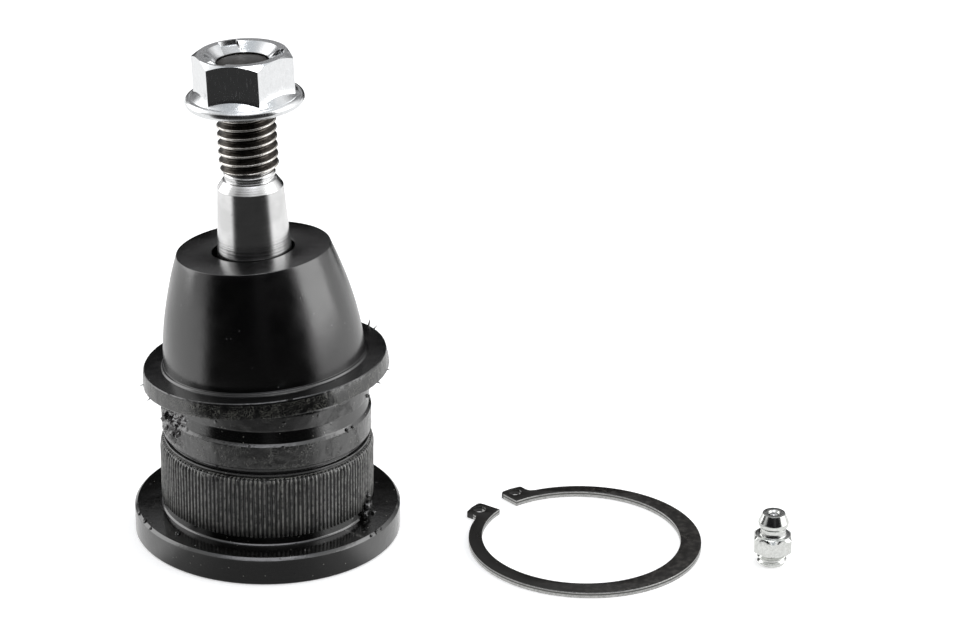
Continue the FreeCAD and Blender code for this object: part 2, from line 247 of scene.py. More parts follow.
def revolve(bm, outline, segments, closed=True, shape=None):
    """Turn (radius, height) points about Z; shape(radius, height, angle) may change each radius."""
    rings = []
    for radius, height in outline:
        if radius < 1e-7:
            rings.append([bm.verts.new((0, 0, height))])
            continue
        ring = []
        for k in range(segments):
            angle = 2 * math.pi * k / segments
            r = shape(radius, height, angle) if shape else radius
            ring.append(bm.verts.new(around(r, angle, height)))
        rings.append(ring)
    pairs = list(zip(rings, rings[1:]))
    if closed:
        pairs.append((rings[-1], rings[0]))
    for low, high in pairs:
        bridge(bm, low, high, segments)
    return rings


def bridge(bm, low, high, segments):
    """Fill the band between two rings of vertices, either of which may be one pole."""
    for k in range(segments):
        n = (k + 1) % segments
        if len(low) == 1:
            bm.faces.new((low[0], high[n], high[k]))
        elif len(high) == 1:
            bm.faces.new((low[k], low[n], high[0]))
        else:
            bm.faces.new((low[k], low[n], high[n], high[k]))


def lean_matrix(lean, centre):
    """Tilt about a centre that brings +Z to the direction of a lean along X and Y."""
    turn = UP.rotation_difference(Vector((*lean, 1)).normalized())
    return Matrix.Translation(centre) @ turn.to_matrix().to_4x4()


STUD_AXIS = lean_matrix(STUD_LEAN, BALL_CENTRE)
BOOT_AXIS = lean_matrix(BOOT_LEAN, BOOT_BASE)


def group(name, inputs, outputs):
    """A new shader node group of numbers; inputs gives each label's default.

    Returns the group with its input and output nodes.
    """
    tree = bpy.data.node_groups.new(name, "ShaderNodeTree")
    for label, value in inputs.items():
        socket = tree.interface.new_socket(label, in_out="INPUT", socket_type="NodeSocketFloat")
        socket.default_value = value
    for label in outputs:
        tree.interface.new_socket(label, in_out="OUTPUT", socket_type="NodeSocketFloat")
    return tree, tree.nodes.new("NodeGroupInput"), tree.nodes.new("NodeGroupOutput")


def math_node(tree, operation, a, b=0.0, clamp=False):
    """One maths node; a and b are sockets or numbers."""
    node = tree.nodes.new("ShaderNodeMath")
    node.operation = operation
    node.use_clamp = clamp
    for socket, value in zip(node.inputs, (a, b)):
        if isinstance(value, (int, float)):
            socket.default_value = value
        else:
            tree.links.new(value, socket)
    return node.outputs[0]


def place_on(tree):
    """The X, Y and Z of a point in the object's own coordinates."""
    split = tree.nodes.new("ShaderNodeSeparateXYZ")
    tree.links.new(tree.nodes.new("ShaderNodeTexCoord").outputs["Object"], split.inputs[0])
    return split.outputs


def height_along(tree, lean_x, lean_y):
    """The height of a point along an axis that leans by (lean_x, lean_y) for each unit up."""
    place = place_on(tree)
    along_x = math_node(tree, "MULTIPLY", place["X"], lean_x)
    along_y = math_node(tree, "MULTIPLY", place["Y"], lean_y)
    return math_node(tree, "ADD", math_node(tree, "ADD", along_x, along_y), place["Z"])


def noise_node(tree, scale, detail=4.0, roughness=0.55, vector=None):
    """Noise over the object's own coordinates or a given vector; returns the value socket."""
    node = tree.nodes.new("ShaderNodeTexNoise")
    node.inputs["Detail"].default_value = detail
    node.inputs["Roughness"].default_value = roughness
    if isinstance(scale, (int, float)):
        node.inputs["Scale"].default_value = scale
    else:
        tree.links.new(scale, node.inputs["Scale"])
    if vector is None:
        vector = tree.nodes.new("ShaderNodeTexCoord").outputs["Object"]
    tree.links.new(vector, node.inputs["Vector"])
    return node.outputs["Fac"]


def ramp_node(tree, value, low, high):
    """Map a value from low..high to 0..1, clamped."""
    node = tree.nodes.new("ShaderNodeMapRange")
    node.interpolation_type = "SMOOTHSTEP"
    tree.links.new(value, node.inputs["Value"])
    node.inputs["From Min"].default_value = low
    node.inputs["From Max"].default_value = high
    return node.outputs["Result"]


def mix_colour(tree, factor, a, b):
    """Mix two colours by a factor socket; each colour is a socket or three numbers."""
    node = tree.nodes.new("ShaderNodeMix")
    node.data_type = "RGBA"
    tree.links.new(factor, node.inputs[0])
    for socket, value in zip((node.inputs[6], node.inputs[7]), (a, b)):
        if isinstance(value, tuple):
            socket.default_value = (*value, 1)
        else:
            tree.links.new(value, socket)
    return node.outputs[2]


def speck_group():
    """Sparse pale specks of dust and chipped coating."""
    tree, start, end = group("dust_specks", {"Scale": 900.0, "Amount": 0.5}, ["Mask"])
    coords = tree.nodes.new("ShaderNodeTexCoord").outputs["Object"]
    cells = tree.nodes.new("ShaderNodeTexVoronoi")
    tree.links.new(coords, cells.inputs["Vector"])
    tree.links.new(start.outputs["Scale"], cells.inputs["Scale"])
    near = ramp_node(tree, cells.outputs["Distance"], 0.22, 0.10)
    chance = tree.nodes.new("ShaderNodeSeparateColor")
    tree.links.new(cells.outputs["Color"], chance.inputs[0])
    threshold = math_node(tree, "SUBTRACT", 1.0, start.outputs["Amount"])
    chosen = math_node(tree, "GREATER_THAN", chance.outputs[0], threshold)
    tree.links.new(math_node(tree, "MULTIPLY", near, chosen), end.inputs["Mask"])
    return tree


def grain_group():
    """Fine height variation of a surface, at two scales, with a slow patchiness for its gloss."""
    tree, start, end = group("surface_grain", {"Fine": 4000.0, "Coarse": 600.0, "Balance": 0.5},
                             ["Height", "Patch"])
    fine = noise_node(tree, start.outputs["Fine"], 3.0)
    coarse = noise_node(tree, start.outputs["Coarse"], 3.0)
    weighted = math_node(tree, "MULTIPLY", coarse, start.outputs["Balance"])
    rest = math_node(tree, "SUBTRACT", 1.0, start.outputs["Balance"])
    height = math_node(tree, "ADD", weighted, math_node(tree, "MULTIPLY", fine, rest))
    tree.links.new(height, end.inputs["Height"])
    tree.links.new(noise_node(tree, 160.0, 2.0), end.inputs["Patch"])
    return tree


def wear_group():
    """Worn, paler edges, found from the mesh's own sharpness and broken up by noise."""
    tree, start, end = group("edge_wear", {"Low": 0.53, "High": 0.60}, ["Mask"])
    sharp = tree.nodes.new("ShaderNodeNewGeometry").outputs["Pointiness"]
    ramp = tree.nodes.new("ShaderNodeMapRange")
    tree.links.new(sharp, ramp.inputs["Value"])
    tree.links.new(start.outputs["Low"], ramp.inputs["From Min"])
    tree.links.new(start.outputs["High"], ramp.inputs["From Max"])
    broken = ramp_node(tree, noise_node(tree, 900.0, 4.0, 0.7), 0.35, 0.62)
    tree.links.new(math_node(tree, "MULTIPLY", ramp.outputs["Result"], broken), end.inputs["Mask"])
    return tree


def turned_group():
    """Fine rings left by turning and polishing, round an axis that may lean."""
    tree, start, end = group("turning_marks", {"Rings": 9000.0, "Axis X": 0.0, "Axis Y": 0.0},
                             ["Height"])
    along = tree.nodes.new("ShaderNodeCombineXYZ")
    height = height_along(tree, start.outputs["Axis X"], start.outputs["Axis Y"])
    tree.links.new(height, along.inputs["Z"])
    rings = noise_node(tree, start.outputs["Rings"], 4.0, 0.5, along.outputs[0])
    tree.links.new(rings, end.inputs["Height"])
    return tree


def scuff_group():
    """Fine pale scuffs and crazing, in patches, between two heights along an axis that may lean."""
    tree, start, end = group(
        "fine_scuffs",
        {"Scale": 700.0, "Amount": 0.5, "Low": 0.0, "High": 1.0, "Axis X": 0.0, "Axis Y": 0.0},
        ["Mask"])
    coords = tree.nodes.new("ShaderNodeTexCoord").outputs["Object"]
    warp = tree.nodes.new("ShaderNodeTexNoise")
    warp.inputs["Scale"].default_value = 350.0
    tree.links.new(coords, warp.inputs["Vector"])
    shift = tree.nodes.new("ShaderNodeVectorMath")
    shift.operation = "SCALE"
    shift.inputs["Scale"].default_value = 4.0 * MM
    tree.links.new(warp.outputs["Color"], shift.inputs[0])
    moved = tree.nodes.new("ShaderNodeVectorMath")
    tree.links.new(coords, moved.inputs[0])
    tree.links.new(shift.outputs[0], moved.inputs[1])
    cells = tree.nodes.new("ShaderNodeTexVoronoi")
    cells.feature = "DISTANCE_TO_EDGE"
    tree.links.new(moved.outputs[0], cells.inputs["Vector"])
    tree.links.new(start.outputs["Scale"], cells.inputs["Scale"])
    lines = ramp_node(tree, cells.outputs["Distance"], 0.10, 0.03)
    missing = math_node(tree, "SUBTRACT", 0.9, start.outputs["Amount"])
    chosen = math_node(tree, "SUBTRACT", noise_node(tree, 420.0, 3.0, 0.6), missing)
    patches = math_node(tree, "MULTIPLY", chosen, 3.5, clamp=True)
    broken = math_node(tree, "MULTIPLY", patches, lines)
    height = height_along(tree, start.outputs["Axis X"], start.outputs["Axis Y"])
    above = math_node(tree, "GREATER_THAN", height, start.outputs["Low"])
    under = math_node(tree, "LESS_THAN", height, start.outputs["High"])
    band = math_node(tree, "MULTIPLY", above, under)
    tree.links.new(math_node(tree, "MULTIPLY", broken, band), end.inputs["Mask"])
    return tree


GROUP_MAKERS = {
    "dust_specks": speck_group,
    "surface_grain": grain_group,
    "edge_wear": wear_group,
    "turning_marks": turned_group,
    "fine_scuffs": scuff_group,
}


def use_group(tree, name, **values):
    """Place a shared node group in a material with its own values."""
    shared = bpy.data.node_groups.get(name) or GROUP_MAKERS[name]()
    node = tree.nodes.new("ShaderNodeGroup")
    node.node_tree = shared
    for label, value in values.items():
        node.inputs[label.replace("_", " ")].default_value = value
    return node


def new_material(name, roughness, metallic=0.0, **sockets):
    """A material with only its Principled shader; sockets holds constants such as Coat_Weight."""
    material = bpy.data.materials.new(name)
    material.use_nodes = True
    shader = material.node_tree.nodes["Principled BSDF"]
    shader.inputs["Roughness"].default_value = roughness
    shader.inputs["Metallic"].default_value = metallic
    for label, value in sockets.items():
        shader.inputs[label.replace("_", " ")].default_value = value
    return material, material.node_tree, shader


def bump(tree, shader, height, distance):
    """Feed a height socket to the shader's normal."""
    node = tree.nodes.new("ShaderNodeBump")
    node.inputs["Distance"].default_value = distance
    tree.links.new(height, node.inputs["Height"])
    tree.links.new(node.outputs["Normal"], shader.inputs["Normal"])


def vary_roughness(tree, shader, patch, low, high):
    """Let a 0..1 patch socket move the roughness between two values."""
    node = tree.nodes.new("ShaderNodeMapRange")
    tree.links.new(patch, node.inputs["Value"])
    node.inputs["From Min"].default_value = 0.3
    node.inputs["From Max"].default_value = 0.7
    node.inputs["To Min"].default_value = low
    node.inputs["To Max"].default_value = high
    tree.links.new(node.outputs["Result"], shader.inputs["Roughness"])


def paint(tree, shader, shade, *layers):
    """Lay colours over a first one, each by its own mask, and give the shader the result."""
    for mask, colour in layers:
        shade = mix_colour(tree, mask, shade, colour)
    tree.links.new(shade, shader.inputs["Base Color"])


def coated_steel(colour):
    """Black electro-coat over forged steel: orange peel, pits, pale specks, scuffs, worn edges."""
    worn_edge = (0.09, 0.09, 0.085)
    scuff = (0.085, 0.085, 0.076)
    chip = (0.20, 0.20, 0.18)
    material, tree, shader = new_material("black_ecoat", 0.2, IOR=2.0)
    grain = use_group(tree, "surface_grain", Fine=2600.0, Coarse=700.0, Balance=0.5)
    wear = use_group(tree, "edge_wear", Low=0.55, High=0.66)
    specks = use_group(tree, "dust_specks", Scale=1300.0, Amount=0.10)
    pits = use_group(tree, "dust_specks", Scale=420.0, Amount=0.12)
    collar = use_group(tree, "fine_scuffs", Scale=1300.0, Amount=0.48,
                       Low=COLLAR_SCUFFS[0], High=COLLAR_SCUFFS[1])
    neck = use_group(tree, "fine_scuffs", Scale=1000.0, Amount=0.34,
                     Low=NECK_SCUFFS[0], High=NECK_SCUFFS[1])
    scuffs = math_node(tree, "ADD", collar.outputs["Mask"], neck.outputs["Mask"])
    paint(tree, shader, tuple(colour), (wear.outputs["Mask"], worn_edge), (scuffs, scuff),
          (specks.outputs["Mask"], chip))
    vary_roughness(tree, shader, grain.outputs["Patch"], 0.10, 0.19)
    marks = math_node(tree, "ADD", math_node(tree, "MULTIPLY", pits.outputs["Mask"], 3.0),
                      math_node(tree, "MULTIPLY", scuffs, 1.5))
    bump(tree, shader, math_node(tree, "ADD", grain.outputs["Height"], marks), 0.03 * MM)
    return material


def worn_and_highlight_ribs(colour):
    """The same coat on the press band; the ribs' crests are paler above their foot, partly worn
    coat and partly a painted highlight.
    """
    # Crest colour: worn coat together with a painted highlight
    lighter = (0.27, 0.27, 0.25)
    chip = (0.22, 0.22, 0.19)
    material, tree, shader = new_material("worn_and_highlight_ecoat", 0.36, IOR=2.0)
    grain = use_group(tree, "surface_grain", Fine=3600.0, Coarse=1400.0, Balance=0.5)
    wear = use_group(tree, "edge_wear", Low=0.50, High=0.56)
    specks = use_group(tree, "dust_specks", Scale=1800.0, Amount=0.15)
    # The paler crests fade out towards the foot of the band
    above_foot = ramp_node(tree, place_on(tree)["Z"], 7.0 * MM, 12.5 * MM)
    crests = math_node(tree, "MULTIPLY", wear.outputs["Mask"], above_foot)
    paint(tree, shader, tuple(colour), (crests, lighter), (specks.outputs["Mask"], chip))
    bump(tree, shader, grain.outputs["Height"], 0.05 * MM)
    return material


def boot_rubber(colour):
    """Semi-gloss moulded rubber with faint mottling, a little dust and a scuffed flange."""
    dust = (0.10, 0.10, 0.10)
    scuff = (0.12, 0.12, 0.104)
    material, tree, shader = new_material("boot_rubber", 0.26, IOR=1.9)
    grain = use_group(tree, "surface_grain", Fine=3200.0, Coarse=420.0, Balance=0.6)
    specks = use_group(tree, "dust_specks", Scale=1100.0, Amount=0.035)
    scuffs = use_group(tree, "fine_scuffs", Scale=2000.0, Amount=0.52, Low=0.0, High=39.7 * MM,
                       Axis_X=BOOT_LEAN[0], Axis_Y=BOOT_LEAN[1])
    paint(tree, shader, tuple(colour), (specks.outputs["Mask"], dust),
          (scuffs.outputs["Mask"], scuff))
    vary_roughness(tree, shader, grain.outputs["Patch"], 0.16, 0.27)
    bump(tree, shader, grain.outputs["Height"], 0.04 * MM)
    return material


def polished_steel(colour):
    """Turned and polished stud steel with fine rings and a few scratches."""
    scratch = (0.30, 0.30, 0.30)
    dull = tuple(value * 0.85 for value in colour)
    material, tree, shader = new_material("polished_steel", 0.12, 1.0)
    turned = use_group(tree, "turning_marks", Rings=2800.0,
                       Axis_X=STUD_LEAN[0], Axis_Y=STUD_LEAN[1])
    grain = use_group(tree, "surface_grain", Fine=3500.0, Coarse=380.0, Balance=0.5)
    scratches = use_group(tree, "fine_scuffs", Scale=420.0, Amount=0.26, Low=0.0, High=1.0)
    paint(tree, shader, tuple(colour), (ramp_node(tree, grain.outputs["Patch"], 0.35, 0.65), dull),
          (scratches.outputs["Mask"], scratch))
    vary_roughness(tree, shader, turned.outputs["Height"], 0.13, 0.28)
    bump(tree, shader, turned.outputs["Height"], 0.03 * MM)
    return material


def mottled_metal(name, roughness, grain_scales, spread, colours, depth):
    """A plain metal whose fine grain wanders between two colours."""
    material, tree, shader = new_material(name, roughness, 1.0)
    fine, coarse = grain_scales
    grain = use_group(tree, "surface_grain", Fine=fine, Coarse=coarse, Balance=0.5)
    wander = ramp_node(tree, grain.outputs["Height"], 0.5 - spread, 0.5 + spread)
    paint(tree, shader, colours[0], (wander, colours[1]))
    bump(tree, shader, grain.outputs["Height"], depth)
    return material


def thread_steel():
    """Dark brown flanks and roots of the rolled thread."""
    colours = ((0.035, 0.031, 0.027), (0.10, 0.09, 0.08))
    return mottled_metal("rolled_thread_steel", 0.34, (4200.0, 900.0), 0.10, colours, 0.03 * MM)


def rubbed_crest():
    """Bright crests of the rolled thread."""
    colours = ((0.80, 0.78, 0.75), (0.50, 0.47, 0.43))
    return mottled_metal("rubbed_crest_steel", 0.22, (4200.0, 1200.0), 0.10, colours, 0.03 * MM)


def zinc_plate(colour):
    """Bright zinc plating with a soft mottle and fine upright handling scratches."""
    material, tree, shader = new_material("zinc_plate", 0.2, 1.0)
    grain = use_group(tree, "surface_grain", Fine=3800.0, Coarse=900.0, Balance=0.5)
    dull = tuple(value * 0.93 for value in colour)
    mottle = ramp_node(tree, grain.outputs["Height"], 0.38, 0.62)
    paint(tree, shader, tuple(colour), (mottle, dull))
    drawn = tree.nodes.new("ShaderNodeMapping")
    drawn.inputs["Scale"].default_value = (1.0, 1.0, 0.16)
    tree.links.new(tree.nodes.new("ShaderNodeTexCoord").outputs["Object"], drawn.inputs["Vector"])
    scratches = noise_node(tree, 2600.0, 5.0, 0.7, drawn.outputs[0])
    vary_roughness(tree, shader, ramp_node(tree, scratches, 0.52, 0.70), 0.20, 0.38)
    bump(tree, shader, grain.outputs["Height"], 0.02 * MM)
    return material


def fitting_plate():
    """Thinner, slightly yellow zinc plating of the grease fitting."""
    colours = ((0.74, 0.75, 0.73), (0.60, 0.61, 0.59))
    return mottled_metal("fitting_zinc", 0.16, (6000.0, 1500.0), 0.15, colours, 0.02 * MM)


def phosphate_steel(colour):
    """Dark phosphate coat, mottled, with the mottle paler in patches towards one side (+X)."""
    pale = tuple(value * 4 for value in colour)
    dust = (0.12, 0.11, 0.09)
    material, tree, shader = new_material("phosphate_steel", 0.34, 0.2)
    grain = use_group(tree, "surface_grain", Fine=5200.0, Coarse=1200.0, Balance=0.4)
    specks = use_group(tree, "dust_specks", Scale=900.0, Amount=0.03)
    mottle = ramp_node(tree, noise_node(tree, 700.0, 5.0, 0.7), 0.42, 0.66)
    # The mottle turns paler towards +X across the ring
    one_side = ramp_node(tree, place_on(tree)["X"], 45.0 * MM, 85.0 * MM)
    lighter = math_node(tree, "MULTIPLY", mottle, one_side)
    paint(tree, shader, tuple(colour), (lighter, pale), (specks.outputs["Mask"], dust))
    vary_roughness(tree, shader, grain.outputs["Patch"], 0.26, 0.42)
    bump(tree, shader, grain.outputs["Height"], 0.03 * MM)
    return material


def sheared_steel():
    """Paler sheared edge of the stamped ring, with a darker line high on it."""
    dull = (0.26, 0.26, 0.255)
    bright = (0.50, 0.50, 0.49)
    dark_line = (0.08, 0.08, 0.075)
    material, tree, shader = new_material("sheared_edge_steel", 0.32, 1.0)
    grain = use_group(tree, "surface_grain", Fine=6000.0, Coarse=1500.0, Balance=0.4)
    height = place_on(tree)["Z"]
    torn = math_node(tree, "MULTIPLY", ramp_node(tree, height, 0.6 * MM, 0.8 * MM),
                     ramp_node(tree, height, 1.1 * MM, 0.9 * MM))
    mottle = ramp_node(tree, grain.outputs["Height"], 0.35, 0.65)
    paint(tree, shader, dull, (mottle, bright), (torn, dark_line))
    bump(tree, shader, grain.outputs["Height"], 0.03 * MM)
    return material


def bearing_steel():
    """Ground steel of the inner bearings, springs and check ball."""
    dark = (0.42, 0.42, 0.43)
    pale = (0.55, 0.55, 0.56)
    material, tree, shader = new_material("ground_bearing_steel", 0.28, 1.0)
    turned = use_group(tree, "turning_marks", Rings=4200.0)
    paint(tree, shader, dark, (ramp_node(tree, turned.outputs["Height"], 0.35, 0.65), pale))
    bump(tree, shader, turned.outputs["Height"], 0.01 * MM)
    return material


def assign(obj, *materials):
    """Give an object its materials, in slot order."""
    obj.data.materials.clear()
    for material in materials:
        obj.data.materials.append(material)


MADE = {}


def material_of(maker, *args):
    """Make a material once and share it."""
    key = maker.__name__
    if key not in MADE:
        MADE[key] = maker(*args)
    return MADE[key]


class BALLJOINT_OT_housing(Operator):
    """Build the coated housing with its serrated band and beads of coating"""

    bl_idname = "balljoint.housing"
    bl_label = "Housing"

    def execute(self, context):
        sizes = context.scene.ball_joint_housing
        steel = material_of(coated_steel, sizes.colour)
        flange = sizes.flange_radius / MM
        rim = sizes.flange_height / MM
        mouth = (14.5, 34.5, 0)
        bore = [(11.9, 28.6, 0.2), (11.9, 27.8, 0.1), (14.06, 26.6, 0.1), (18.0, 21.6, 0.1),
                (18.0, 3.7, 0)]
        lip = [(18.45, 3.7, 0), (18.45, 1.1, 0), (16.2, 1.1, 0.1), (16.2, 0.0, 0.2)]
        base = [(flange - 0.35, 0.0, 0.3), (flange, 0.35, 0.2), (flange, rim - 0.6, 0.12),
                (flange - 0.6, rim, 0.12), (23.1, rim, 0.3), (22.75, rim + 0.35, 0.3)]
        groove = [(22.75, 21.7, 0.1), (21.9, 21.8, 0.1), (21.9, 22.35, 0.1), (22.4, 22.4, 0.1),
                  (22.4, 22.8, 0.1), (21.6, 22.85, 0.1), (21.6, 24.0, 0.1), (22.5, 24.0, 0.15)]
        collar = [(22.65, 24.3, 0.15), (22.65, 29.3, 0.15)]
        cove = [(22.05, 29.9, 0.3), (21.35, 32.45, 0.15)]
        neck = [(22.28, 32.75, 0.12), (22.3, 36.7, 0.6), (15.4, 36.7, 0.4)]
        outline = [mouth, *bore, *lip, *base, *groove, *collar, *cove, *neck, mouth]
        skin = filleted(at(outline))[1:]
        bm = bmesh.new()
        revolve(bm, with_rows(skin, radius=21.2 * MM, length=2.0 * MM, count=9), 384, shape=forged)
        body = new_object("housing_body", bm)
        band = build_press_band(sizes.press_radius, sizes.serrations)
        beads = coat_beads()
        assign(body, steel)
        assign(beads, steel)
        assign(band, material_of(worn_and_highlight_ribs, sizes.colour))
        for piece in (body, band, beads):
            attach(piece, "base")
            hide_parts("housing")
        return {"FINISHED"}


def forged(radius, height, angle):
    """Uneven forged skin of the collar and neck, thick with coating; the flange is nearly true."""
    spot = around(24, angle, height / MM)
    on_collar = radius > 22.35 * MM and 24.1 * MM < height < 29.6 * MM
    on_neck = radius > 22.25 * MM and height > 32.6 * MM
    rough = 0.0
    if on_collar:
        rough = 0.05 * noise.noise(spot * 0.5) + 0.05 * noise.noise(spot * 2.2)
        rough += 0.05 * noise.noise(spot * 5.0)
    elif on_neck:
        rough = 0.05 * noise.noise(spot * 0.6) + 0.03 * noise.noise(spot * 3.0)
    elif radius > 22.9 * MM:
        rough = 0.02 * noise.noise(spot * 0.8) + 0.02 * noise.noise(spot * 3.0)
    if radius > 21.2 * MM and 25.0 * MM < height < 35.0 * MM:
        left = max(0.0, 1 - ((angle - math.radians(203)) / math.radians(24)) ** 2)
        rough += left * (1.1 * max(0.0, noise.noise(spot * 0.9)) + 0.6 * noise.noise(spot * 2.6))
    return radius + rough * MM


# Beads of thick coating: degrees round, radius and height in millimetres, size
COAT_BEADS = (
    (-21.0, 23.3, 8.6, 1.5), (-23.5, 23.4, 7.1, 1.0), (-19.0, 23.2, 11.0, 0.9),
    (-17.0, 24.3, 6.5, 0.7), (-33.0, 28.6, 5.9, 0.7), (-37.0, 28.7, 5.8, 0.6),
    (-29.0, 28.7, 5.8, 0.5), (196.0, 28.6, 5.9, 0.6), (204.0, 28.5, 6.0, 0.8),
    (211.0, 28.6, 5.9, 0.6), (187.0, 28.4, 6.0, 0.6), (224.0, 25.8, 6.2, 0.8),
    (250.0, 28.6, 5.9, 0.35), (278.0, 28.6, 5.9, 0.35), (290.0, 26.5, 6.2, 0.3),
    (238.0, 27.2, 6.2, 0.35), (200.0, 22.5, 29.5, 1.2), (207.0, 22.3, 32.4, 1.1),
    (193.0, 22.6, 30.8, 1.0), (214.0, 22.5, 29.2, 0.8), (-38.0, 22.5, 29.4, 0.7),
    (-33.0, 22.6, 29.5, 0.5), (-12.0, 22.4, 33.2, 0.6),
)


def coat_beads():
    """Rough beads and runs of thick coating left on the housing's edges and on its press band."""
    bm = bmesh.new()
    for degrees, radius, height, size in COAT_BEADS:
        made = bmesh.ops.create_icosphere(bm, subdivisions=3, radius=1.0)["verts"]
        place = around(radius, math.radians(degrees), height)
        for vert in made:
            spot = vert.co * 1.3 + place
            swell = size * (0.75 + 0.7 * noise.noise(spot) + 0.35 * noise.noise(spot * 2.7))
            vert.co = (place + vert.co * swell * Vector((0.8, 0.8, 0.9))) * MM
    return new_object("coat_beads", bm, 180)


def build_press_band(crest, count):
    """The press band's ribs, a closed ring let into the body, with ragged coating on their tops."""
    low = 8.1
    top = crest / MM
    valley = 0.42
    ragged_from = 19.4 * MM
    outline = at([
        (22.3, low), (top - 0.3, low), (top - 0.06, low + 0.1), (top, low + 0.35), (top, 13.5),
        (top, 17.5), (top, 20.3), (top - 0.04, 20.7), (top - 0.12, 21.1), (top - 0.3, 21.5),
        (top - 0.6, 21.8), (22.0, 21.85),
    ])

    def rib(radius, height, angle):
        """Rounded crests and grooves; the lead chamfer cuts the ribs to points."""
        if radius < 22.5 * MM:
            return radius
        wave = 0.5 + 0.5 * math.cos(angle * count)
        spot = around(24, angle, height / MM * 0.4)
        worn = 0.035 * noise.noise(spot * 1.1) + 0.03 * noise.noise(spot * 5.0)
        groove = valley * (1 - min(1, 1.2 * wave))
        blob = 0.0
        if height > ragged_from:
            blob = 0.45 * max(0.0, noise.noise(spot * 2.3) + 0.05)
        filled = min(1.0, 2.2 * blob)
        return radius - (groove * (1 - filled) - worn - 0.4 * blob) * MM

    bm = bmesh.new()
    revolve(bm, outline, count * 8, shape=rib)
    return new_object("press_band_ribs", bm, 50)


def with_rows(outline, radius, length, count):
    """Divide each long upright run of an outline that lies outside a radius into shorter rows."""
    points = []
    for a, b in zip(outline, outline[1:]):
        points.append(a)
        if a[0] > radius and b[0] > radius and abs(b[1] - a[1]) > length:
            points += [a.lerp(b, k / count) for k in range(1, count)]
    points.append(outline[-1])
    return points


class BALLJOINT_OT_inner_pieces(Operator):
    """Finish the cover plate, bearings, springs and check ball, whose solids keep their shape"""

    bl_idname = "balljoint.inner_pieces"
    bl_label = "Inner pieces"

    def execute(self, context):
        coating = material_of(coated_steel, context.scene.ball_joint_housing.colour)
        ground = material_of(bearing_steel)
        for name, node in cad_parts.items():
            if name == "cover_plate":
                assign(node, coating)
            elif name in ("preload_spring", "pressure_cup", "bearing_race", "half_ball_bearing",
                          "fitting_check_ball", "fitting_spring"):
                assign(node, ground)
        return {"FINISHED"}


def thread_rows(bm, radius, depth, pitch, low, high, segments, leads, turned=0.0):
    """A right-hand helical thread as one skin; leads are the lengths of its two end chamfers."""
    profile = ((0.0, 0.0), (0.05, 0.01), (0.10, 0.07), (0.15, 0.18), (0.41, 0.94), (0.47, 1.0),
               (0.58, 1.0), (0.64, 0.94), (0.88, 0.16), (0.94, 0.04))
    root = radius - depth
    turns = int((high - low) / pitch) + 2
    columns = []
    for k in range(segments):
        angle = 2 * math.pi * k / segments
        column = []
        for turn in range(-1, turns):
            for phase, rise in profile:
                height = low + (turn + phase + turned + k / segments) * pitch
                crest = root + depth * (1 - rise)
                limit_low = root + max(0.0, (height - low) / leads[0]) * depth
                limit_high = root + max(0.0, (high - height) / leads[1]) * depth
                r = max(root - 0.001 * MM, min(crest, limit_low, limit_high))
                z = min(high, max(low, height))
                column.append(around(r, angle, z))
        columns.append(column)
    verts = [[bm.verts.new(p) for p in column] for column in columns]
    rows = len(columns[0])
    step = len(profile)
    for k in range(segments):
        here = verts[k]
        wrap = k == segments - 1
        there = verts[0] if wrap else verts[k + 1]
        shift = step if wrap else 0
        for i in range(rows - 1 - shift):
            bm.faces.new((here[i], there[i + shift], there[i + 1 + shift], here[i + 1]))
    merge = 0.0005 * MM
    bmesh.ops.remove_doubles(bm, verts=bm.verts, dist=merge)
    bmesh.ops.dissolve_degenerate(bm, edges=bm.edges, dist=merge)


def mark_crests(thread, radius):
    """Give the faces outside a radius, which are the thread's crests, the second material."""
    vertices = thread.data.vertices
    for polygon in thread.data.polygons:
        if all(math.hypot(*vertices[i].co.xy) > radius for i in polygon.vertices):
            polygon.material_index = 1


class BALLJOINT_OT_stud(Operator):
    """Build the polished stud with its rolled thread"""

    bl_idname = "balljoint.stud"
    bl_label = "Ball stud"

    def execute(self, context):
        sizes = context.scene.ball_joint_stud
        polished = material_of(polished_steel, sizes.colour)
        rolled = material_of(thread_steel)
        depth = 0.58 * sizes.thread_pitch
        root = (sizes.thread_radius - depth) / MM
        length = sizes.length / MM
        foot = -10.3 * MM
        foot_angle = -33.8
        equator_angle = -0.7
        arc_steps = 12
        outline = [Vector((0, foot)), Vector((7.4 * MM, foot))]
        for k in range(arc_steps + 1):
            angle = math.radians(foot_angle + k * (equator_angle - foot_angle) / arc_steps)
            outline.append(Vector((HEAD_RADIUS * math.cos(angle), HEAD_RADIUS * math.sin(angle))))
        shank = [(7.15, -0.15, 0), (7.15, 12.6, 3.0), (8.0, 24.2, 3.0)]
        taper = [(8.1, 42.0, 1.0), (7.03, 59.45, 0.25)]
        undercut = [(5.8, 61.2, 0.2), (5.3, 61.45, 0.2), (5.3, 61.8, 0.2), (5.55, 62.1, 0.2),
                    (5.55, 62.6, 0.2), (root, 63.0, 0.2), (root, 64.4, 0)]
        outline += filleted(at(shank + taper + undercut), 5)
        bm = bmesh.new()
        revolve(bm, outline, 192, closed=False)
        stud = new_object("stud_shank", bm)
        assign(stud, polished)
        bm = bmesh.new()
        thread_rows(bm, sizes.thread_radius, depth, sizes.thread_pitch, 62.6 * MM,
                    (length - 0.05) * MM, 128, (1.5 * MM, 1.0 * MM), -0.06)
        end = at([(root, length - 0.06), (root - 0.3, length), (0, length)])
        revolve(bm, end, 128, closed=False)
        thread = new_object("stud_thread", bm)
        assign(thread, rolled, material_of(rubbed_crest))
        mark_crests(thread, sizes.thread_radius - 0.2 * depth)
        for piece in (stud, thread):
            piece.data.transform(STUD_AXIS)
            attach(piece, "stud")
        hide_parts("ball_stud")
        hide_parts("ball_stud")
        return {"FINISHED"}


